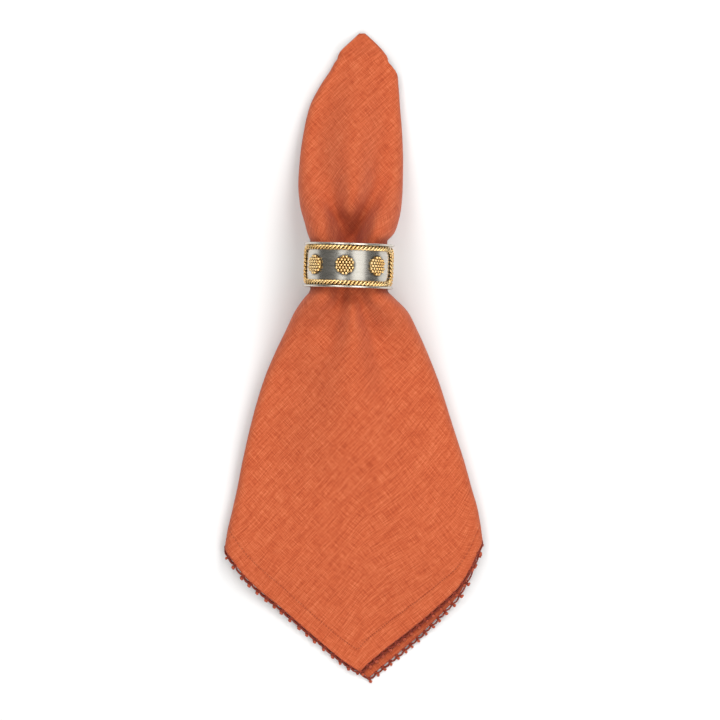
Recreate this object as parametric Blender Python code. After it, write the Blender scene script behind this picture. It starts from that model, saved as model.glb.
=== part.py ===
"""Napkin in a ring, lying on a table.

A square linen napkin is folded in quarters, its two side corners are tucked behind, and its middle is
drawn through a metal ring. The closed corner points to +Y and the four open, lace-edged corners to -Y.
The ring lies on its two flanges, with its bore along Y. Lengths here are in millimetres, and MM turns
them into metres where a mesh or an empty is made.
"""

import math
from collections import namedtuple

import bmesh
import bpy
import numpy as np

MM = 0.001

# The napkin. "Along" is the distance from the closed corner, down the diagonal of the folded square.
CLOTH_SIDE = 508.0
DIAGONAL = CLOTH_SIDE / math.sqrt(2.0)
SIDE_CORNER = DIAGONAL / 2.0
TIP_Y = 130.5
Y_PER_ALONG = 0.992
LEAF = 0.95
LEAF_GAP = 0.45
LEAF_PITCH = LEAF + LEAF_GAP
STACK = LEAF_PITCH + LEAF
FLAP_CLEARANCE = 18.0
FIRST_ALONG = 1.6
LAST_ALONG = DIAGONAL - 1.6
EDGE_SHARE = 0.96
FOLD_INSET = 0.9

# One row for each section across the napkin. Centre, left and right are X, and right and left are where
# the side folds turn under. Crown and belly are the heights of the front's top and the back's bottom.
# Lift is how far the left flap lies above the right one, and rear_x and rear_along are how far the rear
# leaf is shifted.
Section = namedtuple(
    "Section",
    "along centre left right side_radius floor crown belly lift tilt_deg rear_x rear_along",
)
SECTIONS = (
    Section(0.0, 7.6, -6.4, 21.6, 1.18, 0.0, 2.4, 0.0, 0.0, 0.0, 0.5, 0.0),
    Section(7.0, 7.3, -6.6, 22.2, 2.2, 0.0, 4.6, 0.0, 0.0, 0.0, 1.2, 0.0),
    Section(14.4, 6.1, -7.4, 25.4, 3.5, 0.0, 7.6, 0.0, 0.0, 0.0, 1.0, 0.0),
    Section(17.3, 4.6, -9.0, 26.6, 3.6, 0.0, 8.2, 0.0, 0.0, 0.0, -0.6, 0.0),
    Section(21.4, 4.5, -10.8, 27.3, 3.7, 0.0, 9.4, 0.0, 0.0, 0.0, -1.0, 0.0),
    Section(30.0, 3.9, -15.8, 27.9, 3.9, 0.0, 12.0, 0.0, 0.0, 0.0, -1.0, 0.0),
    Section(42.0, 3.4, -21.8, 28.7, 4.6, 0.0, 15.5, 0.0, 0.4, 0.0, -0.5, 0.0),
    Section(56.0, 2.4, -25.1, 29.8, 5.6, 0.0, 20.5, 0.0, 1.6, 0.0, 0.0, 0.0),
    Section(72.0, 1.5, -27.3, 30.4, 7.8, 0.0, 26.5, 0.0, 2.8, 0.0, 0.0, 0.0),
    Section(86.0, 1.0, -28.1, 30.2, 10.5, 0.0, 32.0, 0.0, 2.8, 0.0, 0.0, 0.0),
    Section(98.0, 1.2, -27.0, 29.4, 14.0, 0.6, 36.4, 0.0, 2.8, 0.0, 0.0, 0.0),
    Section(108.0, 1.0, -24.3, 27.4, 17.5, 2.2, 40.0, 1.4, 2.8, 0.0, 0.0, 0.0),
    Section(114.0, 0.6, -22.7, 25.0, 19.0, 3.4, 42.2, 3.0, 2.8, 0.0, 0.0, 0.0),
    Section(117.8, 0.2, -21.3, 21.5, 19.6, 4.4, 43.8, 4.4, 2.8, 0.0, 0.0, 0.0),
    Section(145.2, 0.2, -21.3, 21.5, 19.6, 4.4, 43.8, 4.4, 2.8, 0.0, 0.0, 0.0),
    Section(149.0, 0.2, -24.3, 24.9, 19.2, 3.4, 42.8, 3.0, 2.8, 0.0, 0.0, 0.0),
    Section(157.0, 0.8, -29.9, 32.8, 16.0, 1.8, 40.0, 0.8, 2.8, 0.0, 0.0, 0.0),
    Section(167.0, 1.2, -34.7, 38.0, 12.5, 0.6, 36.5, 0.0, 2.8, 0.0, 0.0, 0.0),
    Section(SIDE_CORNER, 1.4, -40.8, 43.7, 9.8, 0.0, 33.0, 0.0, 2.8, 0.0, 0.0, 0.0),
    Section(194.0, 1.4, -46.8, 49.4, 7.4, 0.0, 29.5, 0.0, 2.8, 0.0, 0.0, 0.0),
    Section(213.0, 1.7, -52.8, 56.2, 6.5, 0.0, 25.6, 0.0, 2.8, 0.0, 0.0, 0.0),
    Section(238.0, 2.4, -59.1, 65.4, 5.6, 0.0, 19.8, 0.0, 2.8, 0.2, 0.2, 0.0),
    Section(254.0, 2.7, -62.4, 69.6, 5.2, 0.0, 16.0, 0.0, 0.6, 0.8, 0.4, 0.3),
    Section(266.0, 2.8, -65.2, 72.3, 5.0, 0.0, 13.6, 0.0, 0.0, 1.3, 0.7, 0.5),
    Section(277.0, 2.7, -67.8, 73.9, 4.9, 0.0, 11.6, 0.0, 0.0, 1.8, 1.0, 0.8),
    Section(287.0, 2.4, -69.3, 75.0, 4.65, 0.0, 10.2, 0.0, 0.0, 2.35, 1.5, 1.1),
    Section(296.0, 2.2, -69.8, 75.5, 4.1, 0.0, 8.7, 0.0, 0.0, 2.8, 2.1, 1.6),
    Section(308.0, 2.5, -70.0, 75.8, 3.0, 0.0, 6.3, 0.0, 0.0, 3.2, 2.9, 2.2),
    Section(322.0, 3.2, -70.0, 75.8, 1.95, 0.0, 4.1, 0.0, 0.0, 3.5, 3.6, 2.7),
    Section(338.0, 4.4, -70.0, 75.8, 1.3, 0.0, 2.7, 0.0, 0.0, 3.5, 4.1, 3.1),
    Section(354.0, 5.8, -70.0, 75.8, 1.175, 0.0, 2.35, 0.0, 0.0, 3.5, 4.4, 3.4),
    Section(384.0, 8.1, -70.0, 75.8, 1.175, 0.0, 2.35, 0.0, 0.0, 3.5, 4.4, 3.4),
)

# How far the lower hems hang below straight ones, because the pressed cloth fans out on the bias. It comes in
# between two distances down from the ring's middle.
LetDown = namedtuple("LetDown", "x down")
LET_DOWNS = (
    LetDown(-76.0, 1.0),
    LetDown(-64.6, 2.2),
    LetDown(-61.4, 3.2),
    LetDown(-57.0, 4.3),
    LetDown(-50.5, 4.3),
    LetDown(-45.5, 3.9),
    LetDown(-38.0, 3.1),
    LetDown(-14.3, 3.1),
    LetDown(-4.5, 2.9),
    LetDown(0.9, 2.1),
    LetDown(6.5, 1.0),
    LetDown(17.7, 3.8),
    LetDown(29.6, 8.2),
    LetDown(40.4, 11.8),
    LetDown(50.4, 14.0),
    LetDown(59.7, 15.2),
    LetDown(67.0, 11.5),
    LetDown(71.5, 6.0),
    LetDown(78.0, 3.0),
)
LET_DOWN_FROM = -60.0
LET_DOWN_FULL = -150.0

# Two furrows in the front, one left and one right of the middle, which the ring presses in.
Furrow = namedtuple("Furrow", "along left_x left_depth left_width right_x right_depth right_width")
FURROWS = (
    Furrow(0.0, -5.0, 0.0, 6.0, 20.0, 0.0, 7.0),
    Furrow(56.0, -5.0, 0.3, 6.0, 20.0, 0.6, 7.0),
    Furrow(72.0, -6.5, 1.2, 5.5, 19.0, 2.0, 6.5),
    Furrow(86.0, -8.0, 3.8, 5.2, 16.5, 5.0, 6.0),
    Furrow(98.0, -7.6, 8.0, 5.0, 11.6, 9.0, 5.4),
    Furrow(108.0, -5.6, 12.0, 4.8, 8.4, 12.5, 5.0),
    Furrow(117.8, -4.4, 14.5, 4.7, 6.2, 15.0, 4.7),
    Furrow(145.2, -4.2, 14.0, 4.7, 6.4, 14.5, 4.7),
    Furrow(157.0, -6.0, 10.0, 5.2, 10.0, 11.0, 4.8),
    Furrow(167.0, -8.0, 7.0, 6.0, 12.2, 8.0, 5.2),
    Furrow(SIDE_CORNER, -10.5, 4.6, 7.5, 15.4, 6.2, 6.0),
    Furrow(194.0, -16.5, 2.6, 9.0, 20.5, 4.6, 7.5),
    Furrow(213.0, -20.0, 1.0, 10.0, 22.0, 2.6, 8.5),
    Furrow(238.0, -20.0, 0.0, 10.0, 23.5, 0.6, 9.5),
    Furrow(254.0, -20.0, 0.0, 10.0, 24.0, 0.0, 10.0),
    Furrow(384.0, -20.0, 0.0, 10.0, 24.0, 0.0, 10.0),
)

# More sections for the faces to run between, where the cloth's edges come round the side folds.
MORE_STATIONS = (10.5, 12.6, 25.5, 281.0, 284.0, 290.0, 293.0)

# How finely a section is worked out, and how many faces the cloth gets across one half.
TOP_POINTS = 24
TURN_POINTS = 40
BOTTOM_POINTS = 24
FRONT_STEPS = 8
FLAP_STEPS = 4
BEND_WEIGHT = 9.0

# The crocheted edging: a chain along each hem with a picot at every step.
PICOT_STEP = 6.05
LACE_START = SIDE_CORNER + 2.0
LACE_GAP = 0.5
CHAIN_REACH = 1.4
PICOT_REACH = 2.9
LACE_INSET = 0.1
LACE_TURN_BACK = (1.4, 0.3)
HEM_SLOPE_SPAN = 3.0

# The ring, turned about Y, and its trim. Angles are from the top, towards +X.
RING_TURN_DEG = -1.8
FLANGE_RADIUS = 25.0
BAND_RADIUS = 23.2
BORE_RADIUS = 22.3
RING_HALF_LENGTH = 12.35
FLANGE_WIDTH = 1.3
FLANGE_ROUND = 0.3
RING_SEGMENTS = 72
TRIM_GAP = 0.3
TRIM_HEIGHT = 1.4
ROPE_WIDTH = 2.3
ROPE_Y = 9.6
ROPE_CORNER = 6.3
ROPE_CORNER_STEPS = 4
ROPE_RUN_STEPS = 26
# Across, as a share of half the rope's width, and height, as a share of the trim's.
ROPE_PROFILE = ((-1.0, 0.0), (-0.85, 0.6), (-0.35, 1.0), (0.35, 1.0), (0.85, 0.6), (1.0, 0.0))
PANEL_HALF_DEG = 83.0
PANELS = {"front": -5.0, "back": 175.0}
BOSS_SPACING_DEG = 47.5
BOSS_RADIUS = 5.4
BOSS_SIDES = 18
# Radius, as a share of the boss's, and height, as a share of the trim's.
BOSS_PROFILE = ((1.0, 0.0), (1.0, 0.5), (0.7, 0.86), (0.35, 1.0))

LINEN = ("linen", (0.60, 0.115, 0.045), 0.85, 0.0)
THREAD = ("edging_thread", (0.36, 0.045, 0.022), 0.80, 0.0)
PEWTER = ("pewter", (0.62, 0.60, 0.56), 0.35, 1.0)
GILT = ("gilt", (0.83, 0.60, 0.25), 0.35, 1.0)


def clear_scene():
    for obj in list(bpy.data.objects):
        bpy.data.objects.remove(obj, do_unlink=True)


def add_material(spec):
    name, colour, roughness, metallic = spec
    material = bpy.data.materials.new(name)
    material.use_nodes = True
    shader = material.node_tree.nodes["Principled BSDF"]
    shader.inputs["Base Color"].default_value = (*colour, 1.0)
    shader.inputs["Roughness"].default_value = roughness
    shader.inputs["Metallic"].default_value = metallic
    return material


def add_object(name, points, faces, material, parent, smooth_deg=40.0):
    """A mesh object from points in millimetres. Faces are lists of point indices."""
    mesh = bpy.data.meshes.new(name)
    mesh.from_pydata([tuple(MM * float(c) for c in point) for point in points], [], faces)
    work = bmesh.new()
    work.from_mesh(mesh)
    bmesh.ops.recalc_face_normals(work, faces=work.faces)
    work.to_mesh(mesh)
    work.free()
    mesh.shade_smooth()
    mesh.set_sharp_from_angle(angle=math.radians(smooth_deg))
    mesh.materials.append(material)
    obj = bpy.data.objects.new(name, mesh)
    obj.parent = parent
    bpy.context.scene.collection.objects.link(obj)
    return obj


def add_empty(name, parent=None):
    empty = bpy.data.objects.new(name, None)
    empty.parent = parent
    bpy.context.scene.collection.objects.link(empty)
    return empty


def smooth_between(xs, ys, x):
    """Monotone cubic interpolation, so that a section eases from one row of a table to the next."""
    k = int(np.clip(np.searchsorted(xs, x) - 1, 0, len(xs) - 2))
    steps = np.diff(xs)
    slopes = np.diff(ys) / steps
    ends = []
    for i in (k, k + 1):
        if i in (0, len(xs) - 1) or slopes[i - 1] * slopes[i] <= 0.0:
            ends.append(0.0)
        else:
            before = 2.0 * steps[i] + steps[i - 1]
            after = steps[i] + 2.0 * steps[i - 1]
            ends.append((before + after) / (before / slopes[i - 1] + after / slopes[i]))
    t = (x - xs[k]) / steps[k]
    rise = steps[k]
    return (
        ys[k] * (1 + 2 * t) * (1 - t) ** 2
        + ends[0] * rise * t * (1 - t) ** 2
        + ys[k + 1] * t * t * (3 - 2 * t)
        - ends[1] * rise * t * t * (1 - t)
    )


def row_at(rows, along):
    """The row of a table at any distance along the diagonal."""
    table = np.array(rows)
    values = [smooth_between(table[:, 0], table[:, c], along) for c in range(1, table.shape[1])]
    return type(rows[0])(along, *values)


def let_down(x, y):
    """The place along Y of cloth that would lie at x and y if its hems were straight."""
    xs, downs = np.array(LET_DOWNS).T
    share = np.clip((y - LET_DOWN_FROM) / (LET_DOWN_FULL - LET_DOWN_FROM), 0.0, 1.0)
    return y - smooth_between(xs, downs, np.clip(x, xs[0], xs[-1])) * share * share * (3.0 - 2.0 * share)


class Path:
    """The napkin's outer face in one section, as a line from the left flap over the front to the right."""

    def __init__(self, along):
        self.section = row_at(SECTIONS, along)
        furrow = row_at(FURROWS, along)
        left, left_apex = self.half(-1, furrow)
        right, right_apex = self.half(1, furrow)
        line = np.vstack([left[::-1], right[1:]])
        lengths = np.hypot(*np.diff(line, axis=0).T)
        arcs = np.concatenate([[0.0], np.cumsum(lengths)])
        self.arcs = arcs - arcs[len(left) - 1]
        tangent = np.gradient(line, self.arcs, axis=0)
        tangent /= np.linalg.norm(tangent, axis=1)[:, None]
        self.line = line
        self.normal = np.column_stack([-tangent[:, 1], tangent[:, 0]])
        heading = np.unwrap(np.arctan2(tangent[:, 1], tangent[:, 0]))
        bend = np.concatenate([[0.0], np.cumsum(np.abs(np.diff(heading)))])
        self.effort = self.arcs + BEND_WEIGHT * (bend - bend[len(left) - 1])
        middle = len(left) - 1
        self.apex = {-1: -self.arcs[middle - left_apex], 1: self.arcs[middle + right_apex]}
        self.limit = {-1: -self.arcs[0] - FLAP_CLEARANCE, 1: self.arcs[-1] - FLAP_CLEARANCE}

    def half(self, side, furrow):
        """Points from the top centre, round one side fold and under to the far side."""
        s = self.section
        middle = (s.left + s.right) / 2.0
        half_width = (s.right - s.left) / 2.0
        run = half_width - s.side_radius
        lift = s.lift if side < 0 else 0.0
        radius = s.side_radius - lift / 2.0
        edge = s.right if side > 0 else s.left
        turn_x = edge - side * radius
        shoulder = s.floor + 2.0 * s.side_radius

        top_x = np.linspace(s.centre, turn_x, TOP_POINTS)
        top = np.cos(math.pi / 2 * np.clip((top_x - middle) / run, -1, 1)) ** 2
        top_z = shoulder + (s.crown - shoulder) * top
        angles = np.linspace(math.pi / 2, -math.pi / 2, TURN_POINTS)
        turn_z = shoulder - radius + radius * np.sin(angles)
        turn = np.column_stack([turn_x + side * radius * np.cos(angles), turn_z])
        bottom_x = np.linspace(turn_x, middle - side * run, BOTTOM_POINTS)
        sag = np.cos(math.pi / 2 * np.clip((bottom_x - middle) / run, -1, 1)) ** 2
        bottom_z = s.floor + lift - (s.floor - s.belly) * sag

        upper = np.vstack([np.column_stack([top_x, top_z]), turn[1 : TURN_POINTS // 2]])
        across = (upper[:, 0] - middle) / half_width
        for x, depth, width in (furrow[1:4], furrow[4:7]):
            upper[:, 1] -= depth * np.exp(-0.5 * ((upper[:, 0] - x) / width) ** 2) * (1.0 - across**2)
        lower = np.column_stack([bottom_x, bottom_z])[1:]
        return np.vstack([upper, turn[TURN_POINTS // 2 :], lower]), len(upper) - 1

    def edge(self, side):
        """How far the cloth reaches on one side, measured over its surface from the middle."""
        along = self.section.along
        return min(min(along, DIAGONAL - along), self.limit[side])

    def stops(self, side, start, edge):
        """Distances from a start to the edge, closer together where the cloth bends."""
        turn = min(self.apex[side], side * start + EDGE_SHARE * (edge - side * start))
        marks = np.interp([start, side * turn, side * edge], self.arcs, self.effort)
        over_front = np.linspace(marks[0], marks[1], FRONT_STEPS + 1)
        over_flap = np.linspace(marks[1], marks[2], FLAP_STEPS + 1)
        return np.interp([*over_front, *over_flap[1:]], self.effort, self.arcs)

    def point(self, arc, depth):
        """The place at a distance over the surface, and a depth into the stack of leaves."""
        s = self.section
        place = [np.interp(arc, self.arcs, self.line[:, c]) for c in (0, 1)]
        normal = np.array([np.interp(arc, self.arcs, self.normal[:, c]) for c in (0, 1)])
        normal /= np.linalg.norm(normal)
        x = place[0] - depth * normal[0] - s.centre
        tilt = math.radians(s.tilt_deg)
        y = TIP_Y - Y_PER_ALONG * s.along + x * math.sin(tilt)
        x = s.centre + x * math.cos(tilt)
        return (x, let_down(x, y), place[1] - depth * normal[1])


class Leaf:
    """One leaf of the napkin in one section. The rear leaf lies a little lower down and to the right."""

    def __init__(self, along, rear):
        own = Path(along)
        right = own.section.rear_x if rear else 0.0
        left = 0.0 if along <= SIDE_CORNER else right
        ahead = own.section.rear_along if rear else 0.0
        wider = ahead if SIDE_CORNER < along < LAST_ALONG else 0.0
        self.corner = DIAGONAL + ahead
        self.along = along + ahead if along >= LAST_ALONG else along
        self.path = Path(self.along)
        self.middle = left
        self.edge = {-1: own.edge(-1) + wider - left, 1: own.edge(1) + wider + right}

    def point(self, arc, depth):
        return np.array(self.path.point(arc, depth))

    def line(self, depth, inner):
        """Points from the left edge to the right one. An inner line stops short of the left fold's end."""
        left, right = (self.path.stops(side, self.middle, self.edge[side]) for side in (-1, 1))
        if inner and self.along <= SIDE_CORNER:
            left = left * (1.0 - FOLD_INSET / self.edge[-1])
        return [self.point(arc, depth) for arc in (*left[::-1], *right[1:])]


def strip_faces(first, second):
    """Triangles between two rows of point indices, always split the same way."""
    faces = []
    for k in range(len(first) - 1):
        faces.append((first[k], first[k + 1], second[k + 1]))
        faces.append((first[k], second[k + 1], second[k]))
    return faces


def leaf_sections(rear):
    """One leaf's sections down the napkin, and one past the open corner for the edging."""
    inside = {s.along for s in SECTIONS if FIRST_ALONG < s.along < LAST_ALONG}
    stations = (FIRST_ALONG, *sorted(inside.union(MORE_STATIONS)), LAST_ALONG, SECTIONS[-1].along)
    return [Leaf(along, rear) for along in stations]


def add_napkin(front, rear, material, parent):
    """Both leaves as one solid, joined down the left fold as far as the side corner and open below it."""
    folded = sum(leaf.along <= SIDE_CORNER for leaf in front)
    points = []
    index = []
    for above, below in zip(front[:-1], rear[:-1]):
        index.append([])
        for line in (
            above.line(0.0, False),
            above.line(LEAF, True),
            below.line(LEAF_PITCH, True),
            below.line(STACK, False),
        ):
            index[-1].append(list(range(len(points), len(points) + len(line))))
            points.extend(line)
    faces = []
    for number, (above, below) in enumerate(zip(index, index[1:])):
        for face in range(4):
            faces += strip_faces(above[face], below[face])
        left_pairs = ((0, 3), (1, 2)) if number + 1 < folded else ((0, 1), (2, 3))
        for end, pairs in ((-1, ((0, 1), (2, 3))), (0, left_pairs)):
            for one, other in pairs:
                upper = [above[one][end], above[other][end]]
                faces += strip_faces(upper, [below[one][end], below[other][end]])
    for row in (index[0], index[-1]):
        faces += strip_faces(row[0], row[1])
        faces += strip_faces(row[2], row[3])
    tip = index[0]
    faces += strip_faces([tip[0][0], tip[1][0]], [tip[3][0], tip[2][0]])
    end = index[folded - 1]
    faces += strip_faces([end[0][0], end[1][0]], [end[3][0], end[2][0]])
    return add_object("napkin", points, faces, material, parent, smooth_deg=60.0)


class Hem:
    """A leaf's hem: places beside it, between the sections that the cloth's faces run between."""

    def __init__(self, leaf):
        self.leaf = leaf
        self.alongs = [section.along for section in leaf]
        self.edges = {side: [section.edge[side] for section in leaf] for side in (-1, 1)}

    def edge(self, side, along):
        return np.interp(along, self.alongs, self.edges[side])

    def beside(self, side, along, reach, depth):
        """The place that lies a given reach away from the hem, square to it."""
        rise = self.edge(side, along + HEM_SLOPE_SPAN) - self.edge(side, along - HEM_SLOPE_SPAN)
        slope = rise / (2.0 * HEM_SLOPE_SPAN)
        length = math.hypot(1.0, slope)
        target = along - reach * slope / length
        return self.place(side, target, self.edge(side, along) + reach / length, depth)

    def corner(self, reach, depth):
        """The same at the open corner, where the two hems meet at a right angle."""
        corner = self.leaf[-1].corner
        middle = (self.edge(1, corner) - self.edge(-1, corner)) / 2.0
        return self.place(1, corner + reach * math.sqrt(2.0), middle, depth)

    def place(self, side, along, arc, depth):
        k = int(np.clip(np.searchsorted(self.alongs, along) - 1, 0, len(self.leaf) - 2))
        share = (along - self.alongs[k]) / (self.alongs[k + 1] - self.alongs[k])
        beyond = arc - self.edge(side, along)
        ends = [self.leaf[i].point(side * (self.edges[side][i] + beyond), depth) for i in (k, k + 1)]
        return (1.0 - share) * ends[0] + share * ends[1]


def picot_stations(leaf):
    """Distances along the diagonal at which the picots part, with one at each section of the cloth."""
    corner = leaf[-1].corner
    marks = [LACE_START] + [s.along for s in leaf if LACE_START < s.along < LAST_ALONG] + [corner]
    stations = []
    for start, end in zip(marks, marks[1:]):
        count = max(1, round((end - start) * math.sqrt(2.0) / PICOT_STEP))
        stations += [start + (end - start) * k / count for k in range(count)]
    return stations + [corner]


def leaf_lace(hem, depths):
    """Inner, chain and picot points along the right hem down to the corner, and up the left hem."""
    stations = picot_stations(hem.leaf)
    middles = [(a + b) / 2.0 for a, b in zip(stations, stations[1:])]
    inner, chain, picots = [], [], []
    for side, order in ((1, 1), (-1, -1)):
        for line, reach, places in (
            (inner, LACE_GAP, stations[:-1]),
            (chain, CHAIN_REACH, stations[:-1]),
            (picots, PICOT_REACH, middles),
        ):
            for along in places[::order]:
                line.append([hem.beside(side, along, reach, depth) for depth in depths])
        if side > 0:
            inner.append([hem.corner(LACE_GAP, depth) for depth in depths])
            chain.append([hem.corner(CHAIN_REACH, depth) for depth in depths])
    return inner, chain, picots


def lace_turn(hem):
    """Where the edging passes from the front leaf to the rear one, round the end of the left fold."""
    middle = LEAF_PITCH - LEAF_GAP / 2.0
    return [
        [hem.beside(-1, LACE_START - back, reach, middle) for back in LACE_TURN_BACK]
        for reach in (LACE_GAP, CHAIN_REACH)
    ]


def add_lace(front, rear, material, parent):
    """The edging as one comb, along the front leaf, round the left side corner and back along the rear."""
    front_lace = leaf_lace(Hem(front), (LACE_INSET, LEAF - LACE_INSET))
    rear_lace = leaf_lace(Hem(rear), (STACK - LACE_INSET, LEAF_PITCH + LACE_INSET))
    turn_inner, turn_chain = lace_turn(Hem(front))
    inner = front_lace[0] + [turn_inner] + rear_lace[0][::-1]
    chain = front_lace[1] + [turn_chain] + rear_lace[1][::-1]
    picots = front_lace[2] + [None, None] + rear_lace[2][::-1]
    points = []
    for pair in zip(inner, chain):
        points += [*pair[0], *pair[1]]
    faces = []
    for k, picot in enumerate(picots):
        a, b = 4 * k, 4 * (k + 1)
        faces += strip_faces([a, a + 2], [b, b + 2])
        faces += strip_faces([a + 1, a + 3], [b + 1, b + 3])
        faces += strip_faces([a, a + 1], [b, b + 1])
        if picot is None:
            faces += strip_faces([a + 2, a + 3], [b + 2, b + 3])
            continue
        tip = len(points)
        points += picot
        faces += [(a + 2, b + 2, tip), (a + 3, b + 3, tip + 1)]
        faces += strip_faces([a + 2, a + 3], [tip, tip + 1])
        faces += strip_faces([tip, tip + 1], [b + 2, b + 3])
    for a in (0, 4 * (len(inner) - 1)):
        faces += strip_faces([a, a + 1], [a + 2, a + 3])
    return add_object("lace_edging", points, faces, material, parent)


def on_ring(angle_deg, y, radius):
    """A point of the ring, at an angle from its top towards +X."""
    angle = math.radians(angle_deg)
    return (radius * math.sin(angle), y, radius * math.cos(angle))


def closed_tube(sections):
    """Faces round a loop of equal sections, for a solid that closes on itself both ways."""
    size = len(sections[0])
    faces = []
    for k in range(len(sections)):
        following = (k + 1) % len(sections)
        here, there = k * size, following * size
        for j in range(size):
            beside = (j + 1) % size
            faces.append((here + j, here + beside, there + beside, there + j))
    return [point for section in sections for point in section], faces


def add_band(material, parent):
    """The band with a rounded flange at each end, turned about the ring's axis."""
    end, side = RING_HALF_LENGTH, RING_HALF_LENGTH - FLANGE_WIDTH
    profile = [(-end, BORE_RADIUS), (end, BORE_RADIUS)]
    for sign in (1.0, -1.0):
        flange = [
            (sign * end, FLANGE_RADIUS - FLANGE_ROUND),
            (sign * (end - FLANGE_ROUND), FLANGE_RADIUS),
            (sign * (side + FLANGE_ROUND), FLANGE_RADIUS),
            (sign * side, FLANGE_RADIUS - FLANGE_ROUND),
            (sign * side, BAND_RADIUS),
        ]
        profile += flange if sign > 0 else flange[::-1]
    half_step = 180.0 / RING_SEGMENTS
    sections = [
        [on_ring(half_step + 360.0 * k / RING_SEGMENTS, y, radius) for y, radius in profile]
        for k in range(RING_SEGMENTS)
    ]
    return add_object("ring_band", *closed_tube(sections), material, parent)


def rope_route():
    """The frame that the rope follows, as angle and Y, and its outward direction at each place."""
    degrees = math.degrees(1.0 / BAND_RADIUS)
    run = PANEL_HALF_DEG - ROPE_CORNER * degrees
    rise = ROPE_Y - ROPE_CORNER
    route = []
    for quarter, (x_sign, y_sign) in enumerate(((1, 1), (1, -1), (-1, -1), (-1, 1))):
        for k in range(ROPE_CORNER_STEPS + 1):
            turn = math.radians(90.0 - 90.0 * (quarter + k / ROPE_CORNER_STEPS))
            out = (math.cos(turn), math.sin(turn))
            place = (x_sign * run + ROPE_CORNER * degrees * out[0], y_sign * rise + ROPE_CORNER * out[1])
            route.append((place, out))
        if quarter in (0, 2):
            continue
        goal = -x_sign * run
        for k in range(1, ROPE_RUN_STEPS):
            angle = x_sign * run + (goal - x_sign * run) * k / ROPE_RUN_STEPS
            route.append(((angle, y_sign * (rise + ROPE_CORNER)), (0.0, float(y_sign))))
    return route


def add_rope(name, panel_deg, material, parent):
    """A rope trim with a flat back, bent round one panel of the band."""
    half = ROPE_WIDTH / 2.0
    floor = BAND_RADIUS + TRIM_GAP
    degrees = math.degrees(1.0 / BAND_RADIUS)
    sections = []
    for (angle, y), out in rope_route():
        section = []
        for across, height in ROPE_PROFILE:
            shift = half * across
            place = (panel_deg + angle + shift * out[0] * degrees, y + shift * out[1])
            section.append(on_ring(*place, floor + TRIM_HEIGHT * height))
        sections.append(section)
    return add_object(name, *closed_tube(sections), material, parent)


def add_boss(name, centre_deg, material, parent):
    """A low domed disc that follows the band."""
    floor = BAND_RADIUS + TRIM_GAP
    degrees = math.degrees(1.0 / BAND_RADIUS)
    points = []
    for share, height in BOSS_PROFILE:
        for k in range(BOSS_SIDES):
            turn = 2.0 * math.pi * k / BOSS_SIDES
            across = share * BOSS_RADIUS * math.cos(turn)
            y = share * BOSS_RADIUS * math.sin(turn)
            points.append(on_ring(centre_deg + across * degrees, y, floor + TRIM_HEIGHT * height))
    faces = []
    top = len(BOSS_PROFILE) - 1
    for level in range(top):
        for k in range(BOSS_SIDES):
            a = level * BOSS_SIDES + k
            b = level * BOSS_SIDES + (k + 1) % BOSS_SIDES
            faces.append((a, b, b + BOSS_SIDES, a + BOSS_SIDES))
    for level, height in ((0, 0.0), (top, 1.0)):
        hub = len(points)
        points.append(on_ring(centre_deg, 0.0, floor + TRIM_HEIGHT * height))
        for k in range(BOSS_SIDES):
            faces.append((level * BOSS_SIDES + k, level * BOSS_SIDES + (k + 1) % BOSS_SIDES, hub))
    return add_object(name, points, faces, material, parent)


def centre_on_origin(root, objects):
    """Shift the whole part so that the middle of its box, seen from above, is at the origin."""
    bpy.context.view_layer.update()
    corners = np.array(
        [obj.matrix_world @ vertex.co for obj in objects for vertex in obj.data.vertices]
    )
    low, high = corners.min(axis=0), corners.max(axis=0)
    root.location = (-(low[0] + high[0]) / 2.0, -(low[1] + high[1]) / 2.0, 0.0)


def main():
    clear_scene()
    root = add_empty("napkin_in_ring")
    ring = add_empty("ring", root)
    ring.location = (0.0, 0.0, MM * FLANGE_RADIUS)
    ring.rotation_euler = (0.0, 0.0, math.radians(RING_TURN_DEG))
    linen, thread, pewter, gilt = (add_material(spec) for spec in (LINEN, THREAD, PEWTER, GILT))
    front, rear = leaf_sections(False), leaf_sections(True)
    objects = [
        add_napkin(front, rear, linen, root),
        add_lace(front, rear, thread, root),
        add_band(pewter, ring),
    ]
    for panel, centre in PANELS.items():
        objects.append(add_rope("rope_" + panel, centre, gilt, ring))
        for number in range(3):
            angle = centre + BOSS_SPACING_DEG * (number - 1)
            objects.append(add_boss(f"boss_{panel}_{number + 1}", angle, gilt, ring))
    centre_on_origin(root, objects)


main()
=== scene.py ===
"""Looks of a linen napkin, folded in quarters and drawn through a metal ring, on a pale table.

The cloth is worked out in flat places: "along" is the distance from the closed corner down the
diagonal of the folded square, and "across" is the distance to the right of that diagonal. Drape
turns them into design places, in millimetres from the point under the ring's centre, and in_frame
turns those into the frame's metres.
"""

import math
from collections import namedtuple

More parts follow.
